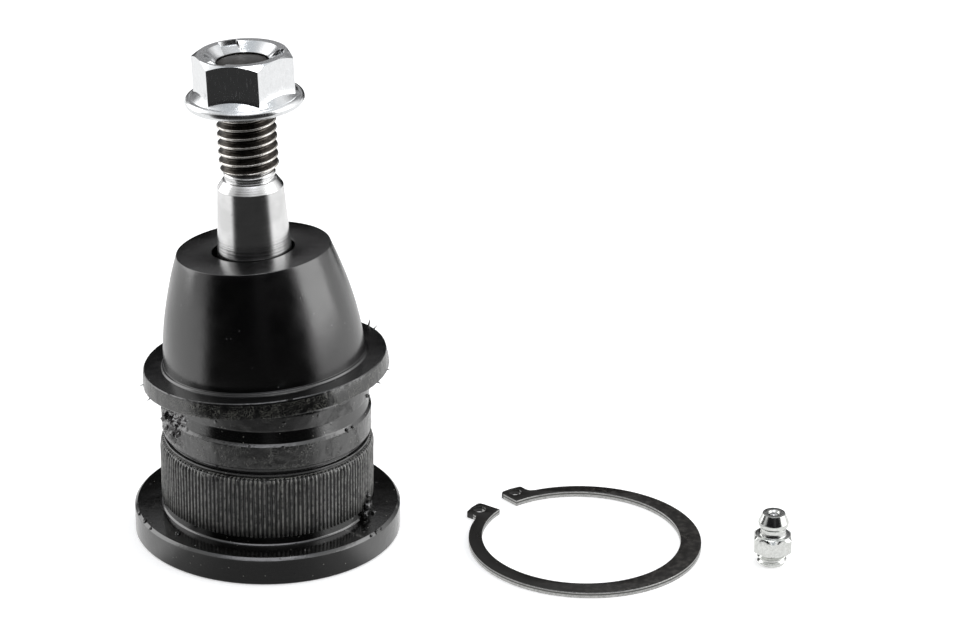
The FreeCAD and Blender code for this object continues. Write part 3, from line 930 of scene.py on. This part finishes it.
class BALLJOINT_OT_nut(Operator):
    """Build the flange nut with its hexagon, hollow skirt, rim and punch marks"""

    bl_idname = "balljoint.nut"
    bl_label = "Flange nut"

    def execute(self, context):
        sizes = context.scene.ball_joint_nut
        zinc = material_of(zinc_plate, sizes.colour)
        nut = build_nut(sizes)
        assign(nut, zinc)
        nut.data.transform(STUD_AXIS @ Matrix.Translation((0, 0, NUT_SEAT)))
        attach(nut, "nut")
        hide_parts("flange_nut")
        return {"FINISHED"}


def hex_radius(angle, apothem, turn):
    """Radius of a hexagon at an angle; turn is the direction of one flat."""
    local = (angle - turn + math.pi / 6) % (math.pi / 3) - math.pi / 6
    return apothem / math.cos(local)


def build_nut(sizes):
    """The nut's skin, as rings that follow the hexagon cut by the chamfer and the skirt."""
    segments = 540
    apothem = sizes.across_flats / 2
    corner = apothem / math.cos(math.pi / 6)
    turn = math.radians(-90 - 10.2)
    sharp_edges = 26
    top = sizes.height
    chamfer_drop = 1.05 * MM
    land = apothem - 0.03 * MM
    rim = sizes.flange_radius
    bead = 1.1 * MM
    bead_height = 2.2 * MM
    foot = 3.5 * MM

    def chamfer_height(radius):
        """Height of the top chamfer's cone at a radius."""
        return top - chamfer_drop * max(0.0, radius - land) / (corner - land)

    def skirt_height(radius):
        """Height of the hollow skirt's surface at a radius."""
        t = min(1.0, max(0.0, (rim - bead - radius) / (rim - bead - apothem)))
        return bead_height - 0.12 * MM + (foot - bead_height) * t

    bm = bmesh.new()
    rings = []

    def add_ring(point):
        """One ring; point(angle) gives its radius and height."""
        ring = []
        for k in range(segments):
            angle = 2 * math.pi * k / segments
            radius, height = point(angle)
            ring.append(bm.verts.new(around(radius, angle, height)))
        rings.append(ring)

    for radius, height in at([(6.5, 0.5), (6.9, 0.05), (7.0, 0.0), (11.2, 0.0)]):
        add_ring(lambda angle, r=radius, h=height: (r, h))
    for k in range(13):
        swing = math.pi * (k / 12 - 0.5)
        out = rim - bead + bead * math.cos(swing)
        up = bead_height / 2 * (1 + math.sin(swing))
        add_ring(lambda angle, r=out, h=up: (r, h))
    for k in range(9):
        def on_skirt(angle, t=k / 8):
            """A part t of the way over the skirt, from the round rim to the hexagon's foot."""
            inner = hex_radius(angle, apothem, turn) + 0.05 * MM
            radius = (rim - bead - 0.15 * MM) * (1 - t) + inner * t
            return radius, skirt_height(radius)
        add_ring(on_skirt)
    for k in range(5):
        def on_face(angle, t=k / 4):
            """A part t of the way up the hexagon, from the skirt to the top chamfer."""
            radius = hex_radius(angle, apothem, turn)
            low = skirt_height(radius) + 0.08 * MM
            return radius, low + (chamfer_height(radius) - low) * t
        add_ring(on_face)
    flat_top = [(radius, 0) for radius in (9.49, 9.3, 8.9, 8.6, 8.3, 8.05, 7.85)]
    recess = [(7.7, 0.1), (7.3, 0.42), (6.9, 0.75), (6.5, 1.08), (6.1, 1.41), (5.75, 1.7),
              (5.6, 1.78)]
    hole = [(5.6, 1.86), (6.42, 2.1), (6.42, 3.0), (6.42, 9.0)]
    for out, drop in at(flat_top + recess + hole):
        add_ring(lambda angle, r=out, d=drop: (r, punched(r, top - d, angle, top)))
    for low, high in zip(rings, rings[1:] + rings[:1]):
        bridge(bm, low, high, segments)
    return new_object("flange_nut_body", bm, sharp_edges)


def punched(radius, height, angle, top):
    """Height on the nut's top after three square punch marks were pressed into the recess."""
    half_width = 2.1 * MM
    wall = 0.2 * MM
    if not 5.7 * MM < radius < 8.7 * MM or height < top - 1.75 * MM:
        return height
    floor = top - 0.95 * MM - 0.35 * max(0.0, 8.2 * MM - radius)
    for k in range(3):
        centre = math.radians(114 + 120 * k)
        away = abs((angle - centre + math.pi) % (2 * math.pi) - math.pi) * radius
        if away < half_width:
            return height + (min(height, floor) - height) * min(1.0, (half_width - away) / wall)
    return height


class BALLJOINT_OT_boot(Operator):
    """Build the rubber dust boot, leaning between the housing and the stud"""

    bl_idname = "balljoint.boot"
    bl_label = "Dust boot"

    def execute(self, context):
        sizes = context.scene.ball_joint_boot
        rubber = material_of(boot_rubber, sizes.colour)
        base = sizes.base_radius / MM
        top = sizes.top_radius / MM
        height = sizes.height / MM
        wall = 2.1
        roof = height - 2.3
        bulge = 1.75
        flange = [
            (19.7, -1.2, 0.2), (22.9, -1.2, 0.2), (22.9, -3.7, 0.2), (26.5, -3.7, 0.25),
            (26.65, -3.4, 0.1), (26.6, -2.4, 0), (26.45, -1.2, 0), (26.28, -0.2, 0.1),
            (26.1, 0.0, 0.1), (base + 0.62, 0.0, 0.1), (base + 0.38, 0.42, 0.16),
            (base - 0.02, 0.5, 0.1),
        ]
        cone = [(base - (base - top) * t ** bulge, height * t, 0.0)
                for t in [0.03 + 0.93 * k / 16 for k in range(17)]]
        mouth = [(top, height, 0.22), (8.95, height, 0.12), (8.85, height - 0.2, 0.1),
                 (8.85, roof, 0.1), (top - wall, roof, 0.3)]
        inside = [(base - wall - (base - top) * t ** bulge, roof * t, 0.0)
                  for t in (0.8, 0.6, 0.4, 0.2)]
        bm = bmesh.new()
        revolve(bm, filleted(at(flange + cone + mouth + inside)), 480, shape=moulded)
        add_thorns(bm)
        boot = new_object("dust_boot_skin", bm, 40)
        assign(boot, rubber)
        boot.data.transform(BOOT_AXIS @ Matrix.Translation((0, 0, 3.7 * MM)))
        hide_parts("dust_boot")
        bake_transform(boot)
        return {"FINISHED"}


def moulded(radius, height, angle):
    """Slight unevenness of the moulding, with ragged flash on the flange's rim."""
    spot = around(26, angle, height / MM)
    soft = 0.06 * noise.noise(spot * 0.11)
    if radius > 26.0 * MM:
        soft += 0.05 * noise.noise(spot * 0.9) + 0.06 * noise.noise(spot * 5.1)
    return radius + soft * MM


# Flash left on the boot's rim by its mould: degrees round, then height, reach outwards, rise and
# half width in millimetres
FLASH_THORNS = (
    (32.0, -0.3, 0.4, 1.9, 0.5), (27.0, -0.3, 0.9, 0.9, 0.4), (-9.0, -3.3, 1.0, -0.5, 0.6),
    (203.0, -3.3, 0.9, -0.7, 0.7), (186.0, -3.3, 1.1, -0.2, 0.6), (-24.0, -3.2, 0.8, -0.8, 0.7),
    (222.0, -0.3, 0.4, 0.9, 0.6), (-76.0, -0.3, 0.4, 0.8, 1.1), (-52.0, -3.3, 0.4, -0.8, 1.0),
    (234.0, -0.3, 0.3, 0.8, 0.7), (12.0, -3.2, 0.7, -0.2, 0.5),
)


def add_thorns(bm):
    """Small pointed scraps of flash that stand out of the boot's rim."""
    rim = 26.0
    for degrees, level, reach, rise, width in FLASH_THORNS:
        angle = math.radians(degrees)
        out = around(1, angle)
        along = Vector((-math.sin(angle), math.cos(angle), 0))
        root = out * rim + UP * level
        foot = [root + along * width, root + UP * 0.25, root - along * width, root - UP * 0.25]
        tip = bm.verts.new((root + out * (reach + 0.5) + UP * rise + along * width * 0.5) * MM)
        ring = [bm.verts.new(point * MM) for point in foot]
        for k in range(4):
            bm.faces.new((ring[k], ring[(k + 1) % 4], tip))
        bm.faces.new(ring)


class BALLJOINT_OT_snap_ring(Operator):
    """Build the loose snap ring with its two plier eyes"""

    bl_idname = "balljoint.snap_ring"
    bl_label = "Snap ring"

    def execute(self, context):
        sizes = context.scene.ball_joint_loose
        ring = build_ring(sizes.ring_thickness)
        assign(ring, material_of(phosphate_steel, sizes.ring_colour), material_of(sheared_steel))
        for polygon in ring.data.polygons:
            on_body = abs(polygon.center.xy.length - 23.6 * MM) < 3.0 * MM
            is_edge = polygon.normal.z < 0.9
            polygon.material_index = 1 if is_edge and on_body else 0
        ring.data.transform(Matrix.Translation(RING_PLACE))
        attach(ring, "ring")
        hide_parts("snap_ring")
        return {"FINISHED"}


def build_ring(thickness):
    """Flat ring stamped from sheet: a tapering body, flared eyes at its gap and softened edges."""
    outer = 25.3
    inner = 21.6
    shift = 1.05
    gap = math.radians(137)
    half_gap = math.radians(7)
    tip = outer + 3.0
    end = inner + shift
    softened = 0.1 * MM
    eye_radius = 1.35

    def polar(radius, side, along):
        """A point a length along the rim away from the gap on one side."""
        angle = gap + side * (half_gap + along / outer)
        return radius * math.cos(angle), radius * math.sin(angle)

    def sweep(centre, radius, start):
        """Points of an arc round the ring from one side of the gap to the other."""
        steps = 160
        away = half_gap + start / outer
        first = gap - away
        last = gap + away - 2 * math.pi
        for k in range(steps + 1):
            angle = first + (last - first) * k / steps
            yield (centre[0] + radius * math.cos(angle), centre[1] + radius * math.sin(angle))

    lug = [(end, 0.0), (tip - 1.2, 0.0), (tip - 0.5, 0.12), (tip - 0.05, 0.6), (tip + 0.1, 2.6),
           (tip, 4.7), (tip - 0.25, 5.05), (outer + 1.2, 5.35), (outer + 0.35, 5.9), (outer, 7.0)]
    points = [polar(radius, -1, along) for radius, along in lug]
    points += sweep((0, 0), outer, 7.6)
    points += [polar(radius, 1, along) for radius, along in reversed(lug)]
    offset = (shift * math.cos(gap), shift * math.sin(gap))
    points += reversed(list(sweep(offset, inner, 0.6)))
    curve = bpy.data.curves.new("snap_ring_outline", "CURVE")
    curve.dimensions = "2D"
    curve.fill_mode = "BOTH"
    curve.extrude = thickness / 2 - softened
    curve.bevel_depth = softened
    curve.bevel_resolution = 2
    curve.offset = -softened
    loops = [points]
    for side in (-1, 1):
        x, y = polar(tip - 1.9, side, 2.6)
        loops.append([(x + eye_radius * math.cos(a), y + eye_radius * math.sin(a))
                      for a in [2 * math.pi * k / 40 for k in range(40)]])
    for loop in loops:
        spline = curve.splines.new("POLY")
        spline.points.add(len(loop) - 1)
        for point, (x, y) in zip(spline.points, loop):
            point.co = (x * MM, y * MM, 0, 1)
        spline.use_cyclic_u = True
    stencil = bpy.data.objects.new("snap_ring_stencil", curve)
    bpy.context.scene.collection.objects.link(stencil)
    bpy.context.view_layer.update()
    mesh = bpy.data.meshes.new_from_object(stencil)
    bpy.data.objects.remove(stencil)
    bm = bmesh.new()
    bm.from_mesh(mesh)
    bpy.data.meshes.remove(mesh)
    bmesh.ops.remove_doubles(bm, verts=bm.verts, dist=0.002 * MM)
    bmesh.ops.translate(bm, verts=bm.verts, vec=(0, 0, thickness / 2))
    return new_object("snap_ring_body", bm)


class BALLJOINT_OT_grease_fitting(Operator):
    """Build the loose grease fitting"""

    bl_idname = "balljoint.grease_fitting"
    bl_label = "Grease fitting"

    def execute(self, context):
        sizes = context.scene.ball_joint_loose
        zinc = material_of(fitting_plate)
        top = sizes.fitting_height / MM
        across_flats = 7.94 * MM
        apothem = across_flats / 2
        turn = math.radians(-90 + 27)

        def wrench(radius, height, angle):
            """The hexagon between the thread and the neck, with its corners chamfered."""
            if not 3.15 * MM < height < 7.1 * MM or radius < 3.6 * MM:
                return radius
            return min(hex_radius(angle, apothem, turn), radius)

        shank = [(1.05, 0.0, 0), (2.5, 0.0, 0.1), (2.65, 0.2, 0), (2.65, 3.0, 0)]
        hexagon = [(3.3, 3.2, 0), (4.1, 3.2, 0), (4.58, 3.5, 0), (4.58, 5.0, 0), (4.58, 6.4, 0),
                   (3.8, 6.95, 0.08), (3.6, 7.05, 0.1)]
        neck = [(2.9, 7.05, 0.25), (2.7, 7.9, 0.5), (2.8, 8.7, 0.4)]
        nipple = [(3.2, 9.2, 0.2), (3.3, 9.9, 0.15), (3.26, 10.1, 0.1), (2.42, top, 0.06)]
        bore = [(1.3, top, 0.08), (0.95, top - 0.35, 0.05), (0.95, top - 0.5, 0),
                (1.45, top - 1.0, 0), (1.45, 1.4, 0), (1.05, 1.4, 0)]
        bm = bmesh.new()
        revolve(bm, filleted(at(shank + hexagon + neck + nipple + bore)), 144, shape=wrench)
        body = new_object("fitting_body_shell", bm, 28)
        bm = bmesh.new()
        thread_rows(bm, 3.175 * MM, 0.55 * MM, 1.1 * MM, 0.05 * MM, 3.15 * MM, 72,
                    (0.5 * MM, 0.3 * MM))
        thread = new_object("fitting_thread", bm)
        for piece in (body, thread):
            assign(piece, zinc)
            piece.data.transform(Matrix.Translation(FITTING_PLACE))
            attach(piece, "fitting")
            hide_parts("fitting_body")
        return {"FINISHED"}


class BALLJOINT_OT_stage(Operator):
    """Set up the white studio, its lamps and the photograph's camera"""

    bl_idname = "balljoint.stage"
    bl_label = "Studio"

    def execute(self, context):
        settings = context.scene.ball_joint_stage
        scene = context.scene
        scene.view_settings.view_transform = "Standard"
        make_floor()
        make_dark_card()
        make_world(scene, settings.surround)
        make_lamps(settings.lamp_power)
        scene.camera = make_camera()
        return {"FINISHED"}


def make_floor():
    """A wide white floor that keeps a shadow; reflections see it dim towards the unlit front."""
    bm = bmesh.new()
    bmesh.ops.create_grid(bm, x_segments=1, y_segments=1, size=4.0)
    floor = new_object("studio_floor", bm)
    material, tree, shader = new_material("studio_floor_paint", 0.8)
    shader.inputs["Base Color"].default_value = (0.86, 0.86, 0.86, 1)
    shader.inputs["Specular IOR Level"].default_value = 0.0
    path = tree.nodes.new("ShaderNodeLightPath")
    lifted = tree.nodes.new("ShaderNodeEmission")
    lifted.inputs["Strength"].default_value = 0.45
    add = tree.nodes.new("ShaderNodeAddShader")
    tree.links.new(shader.outputs[0], add.inputs[0])
    tree.links.new(lifted.outputs[0], add.inputs[1])
    seen = tree.nodes.new("ShaderNodeMixShader")
    tree.links.new(path.outputs["Is Camera Ray"], seen.inputs[0])
    tree.links.new(shader.outputs[0], seen.inputs[1])
    tree.links.new(add.outputs[0], seen.inputs[2])
    mirrored = tree.nodes.new("ShaderNodeEmission")
    tree.links.new(mirrored_floor(tree), mirrored.inputs["Color"])
    shown = tree.nodes.new("ShaderNodeMixShader")
    tree.links.new(path.outputs["Is Glossy Ray"], shown.inputs[0])
    tree.links.new(seen.outputs[0], shown.inputs[1])
    tree.links.new(mirrored.outputs[0], shown.inputs[2])
    tree.links.new(shown.outputs[0], tree.nodes["Material Output"].inputs["Surface"])
    assign(floor, material)


def mirrored_floor(tree):
    """The floor's colour in reflections: white at the sides, dim in a wedge opening forwards, with
    a painted paler band near the object.
    """
    white = (1.05, 1.05, 1.05)
    painted_pale_band = (0.42, 0.42, 0.42)
    middle_grey = (0.17, 0.17, 0.17)
    side_grey = (0.34, 0.34, 0.34)
    unlit = (0.035, 0.035, 0.035)
    split = tree.nodes.new("ShaderNodeSeparateXYZ")
    place = tree.nodes.new("ShaderNodeNewGeometry").outputs["Position"]
    tree.links.new(place, split.inputs[0])
    flat = tree.nodes.new("ShaderNodeVectorMath")
    flat.operation = "LENGTH"
    tree.links.new(place, flat.inputs[0])
    distance = flat.outputs["Value"]
    ahead = math_node(tree, "DIVIDE", split.outputs["Y"], distance)
    opened = math_node(tree, "MULTIPLY", ramp_node(tree, distance, 95 * MM, 115 * MM), 0.35)
    widened = math_node(tree, "MULTIPLY", ahead, math_node(tree, "ADD", opened, 1.0))
    in_front = ramp_node(tree, widened, -0.48, -0.76)
    # Mask of a paler band painted on the floor near the object, a painted light seen only in
    # reflections
    card = math_node(tree, "MULTIPLY", ramp_node(tree, distance, 42 * MM, 48 * MM),
                     ramp_node(tree, distance, 78 * MM, 70 * MM))
    near = mix_colour(tree, ramp_node(tree, ahead, -0.99, -0.70), middle_grey, side_grey)
    near = mix_colour(tree, card, near, painted_pale_band)
    dim = mix_colour(tree, ramp_node(tree, distance, 90 * MM, 150 * MM), near, unlit)
    return mix_colour(tree, in_front, white, dim)


def make_dark_card():
    """A dark card low behind the object, seen only in reflections, that blackens level surfaces."""
    left = -100 * MM
    right = 170 * MM
    back = 250 * MM
    top = 183 * MM
    black = (0.005, 0.005, 0.005)
    grey = (0.48, 0.48, 0.485)
    bm = bmesh.new()
    corners = [(left, back, 0.0), (right, back, 0.0), (right, back, top), (left, back, top)]
    bm.faces.new([bm.verts.new(corner) for corner in corners])
    card = new_object("dark_card", bm)
    card.visible_camera = False
    card.visible_diffuse = False
    card.visible_shadow = False
    material, tree, shader = new_material("dark_card_board", 0.9)
    shader.inputs["Base Color"].default_value = (0.0, 0.0, 0.0, 1)
    shader.inputs["Specular IOR Level"].default_value = 0.0
    shader.inputs["Emission Strength"].default_value = 1.0
    fade = ramp_node(tree, place_on(tree)["Z"], 145 * MM, 158 * MM)
    tree.links.new(mix_colour(tree, fade, black, grey), shader.inputs["Emission Color"])
    assign(card, material)


def make_world(scene, level):
    """White surround, dark in front and greyer behind, as card round a shooting table."""
    right_side = (level, level, level)
    left_side = (0.65 * level, 0.65 * level, 0.65 * level)
    back_grey = (0.21, 0.21, 0.215)
    sky_grey = (0.57, 0.60, 0.63)
    unlit_front = (0.012, 0.012, 0.013)
    gap_in_front = (0.05, 0.05, 0.052)
    strip_light = (2.2, 2.2, 2.3)
    world = bpy.data.worlds.new("studio_surround")
    scene.world = world
    world.use_nodes = True
    tree = world.node_tree
    background = tree.nodes["Background"]
    split = tree.nodes.new("ShaderNodeSeparateXYZ")
    tree.links.new(tree.nodes.new("ShaderNodeTexCoord").outputs["Generated"], split.inputs[0])
    across, ahead, upward = (split.outputs[axis] for axis in "XYZ")

    # Lit card: the left side weaker than the right, grey behind and overhead
    on_left = math_node(tree, "MULTIPLY", ramp_node(tree, across, 0.1, -0.1),
                        ramp_node(tree, ahead, 0.20, -0.05))
    lit = mix_colour(tree, on_left, right_side, left_side)
    lit = mix_colour(tree, ramp_node(tree, ahead, 0.45, 0.85), lit, back_grey)
    lit = mix_colour(tree, ramp_node(tree, upward, 0.70, 0.95), lit, sky_grey)

    # The dark front reaches further round on the left and has a faint gap right of its middle
    sideways = math_node(tree, "MAXIMUM", math_node(tree, "MULTIPLY", across, 0.13), 0.0)
    front = ramp_node(tree, math_node(tree, "ADD", ahead, sideways), -0.24, -0.52)
    dark = math_node(tree, "MULTIPLY", front, ramp_node(tree, upward, 0.88, 0.50))
    off_gap = math_node(tree, "ABSOLUTE", math_node(tree, "SUBTRACT", across, 0.10))
    unlit = mix_colour(tree, ramp_node(tree, off_gap, 0.20, 0.04), unlit_front, gap_in_front)
    shade = mix_colour(tree, dark, lit, unlit)

    # A bright strip high in front, which draws the upper edges
    strip = math_node(tree, "MULTIPLY", ramp_node(tree, ahead, -0.28, -0.38),
                      ramp_node(tree, upward, 0.80, 0.88))
    shade = mix_colour(tree, strip, shade, strip_light)
    path = tree.nodes.new("ShaderNodeLightPath")
    shown = mix_colour(tree, path.outputs["Is Camera Ray"], shade, (1.0, 1.0, 1.0))
    tree.links.new(shown, background.inputs["Color"])
    background.inputs["Strength"].default_value = 1.0


def make_lamps(power):
    """Two soft square lamps at the sides, the right one stronger, and one overhead."""
    target = Vector((0.04, 0, 0.05))
    for name, place, size, share in (
            ("lamp_left", (-0.70, 0.32, 0.35), 0.7, 1.0),
            ("lamp_right", (0.85, -0.06, 0.37), 0.7, 1.3),
            ("lamp_top", (0.05, 0.10, 0.9), 0.3, 0.7)):
        data = bpy.data.lights.new(name, "AREA")
        data.shape = "SQUARE"
        data.size = size
        data.energy = power * share
        lamp = bpy.data.objects.new(name, data)
        lamp.location = place
        lamp.rotation_euler = (target - lamp.location).to_track_quat("-Z", "Y").to_euler()
        bpy.context.scene.collection.objects.link(lamp)


def make_camera():
    """The photograph's camera."""
    data = bpy.data.cameras.new("photo_camera")
    data.sensor_width = SENSOR_WIDTH
    data.lens = FOCAL_PIXELS * SENSOR_WIDTH / PHOTO_WIDTH
    data.shift_x = (PHOTO_WIDTH / 2 - CENTRE_X) / PHOTO_WIDTH
    data.shift_y = (CENTRE_Y - PHOTO_HEIGHT / 2) / PHOTO_WIDTH
    data.clip_end = 20
    camera = bpy.data.objects.new("photo_camera", data)
    camera.location = CAMERA_PLACE
    pitch = Matrix.Rotation(math.radians(90 - CAMERA_PITCH), 4, "X")
    roll = Matrix.Rotation(math.radians(CAMERA_ROLL), 4, "Z")
    camera.rotation_euler = (pitch @ roll).to_euler()
    bpy.context.scene.collection.objects.link(camera)
    return camera


PIECE_OPERATORS = (
    BALLJOINT_OT_housing,
    BALLJOINT_OT_inner_pieces,
    BALLJOINT_OT_stud,
    BALLJOINT_OT_nut,
    BALLJOINT_OT_boot,
    BALLJOINT_OT_snap_ring,
    BALLJOINT_OT_grease_fitting,
    BALLJOINT_OT_stage,
)

SETTINGS = {
    "ball_joint_housing": HousingSizes,
    "ball_joint_stud": StudSizes,
    "ball_joint_nut": NutSizes,
    "ball_joint_boot": BootSizes,
    "ball_joint_loose": LooseSizes,
    "ball_joint_stage": StageSettings,
}


class BALLJOINT_PT_sidebar(Panel):
    """Lists the pieces of the ball joint and their sizes"""

    bl_label = "Ball Joint"
    bl_space_type = "VIEW_3D"
    bl_region_type = "UI"
    bl_category = "Ball Joint"

    def draw(self, context):
        layout = self.layout
        for name, settings in SETTINGS.items():
            box = layout.box()
            box.label(text=settings.__doc__.split(".")[0])
            for label in settings.__annotations__:
                box.prop(getattr(context.scene, name), label)
        for operator in PIECE_OPERATORS:
            layout.operator(operator.bl_idname)


def register():
    """Register the settings, operators and panel."""
    for settings in SETTINGS.values():
        bpy.utils.register_class(settings)
    for name, settings in SETTINGS.items():
        setattr(bpy.types.Scene, name, PointerProperty(type=settings))
    for operator in PIECE_OPERATORS:
        bpy.utils.register_class(operator)
    bpy.utils.register_class(BALLJOINT_PT_sidebar)


def unregister():
    """Remove what register added."""
    bpy.utils.unregister_class(BALLJOINT_PT_sidebar)
    for operator in reversed(PIECE_OPERATORS):
        bpy.utils.unregister_class(operator)
    for name, settings in SETTINGS.items():
        delattr(bpy.types.Scene, name)
        bpy.utils.unregister_class(settings)


def main():
    register()
    bpy.ops.balljoint.housing()
    bpy.ops.balljoint.inner_pieces()
    bpy.ops.balljoint.stud()
    bpy.ops.balljoint.nut()
    bpy.ops.balljoint.boot()
    bpy.ops.balljoint.snap_ring()
    bpy.ops.balljoint.grease_fitting()
    bpy.ops.balljoint.stage()


if __name__ == "__main__":
    main()
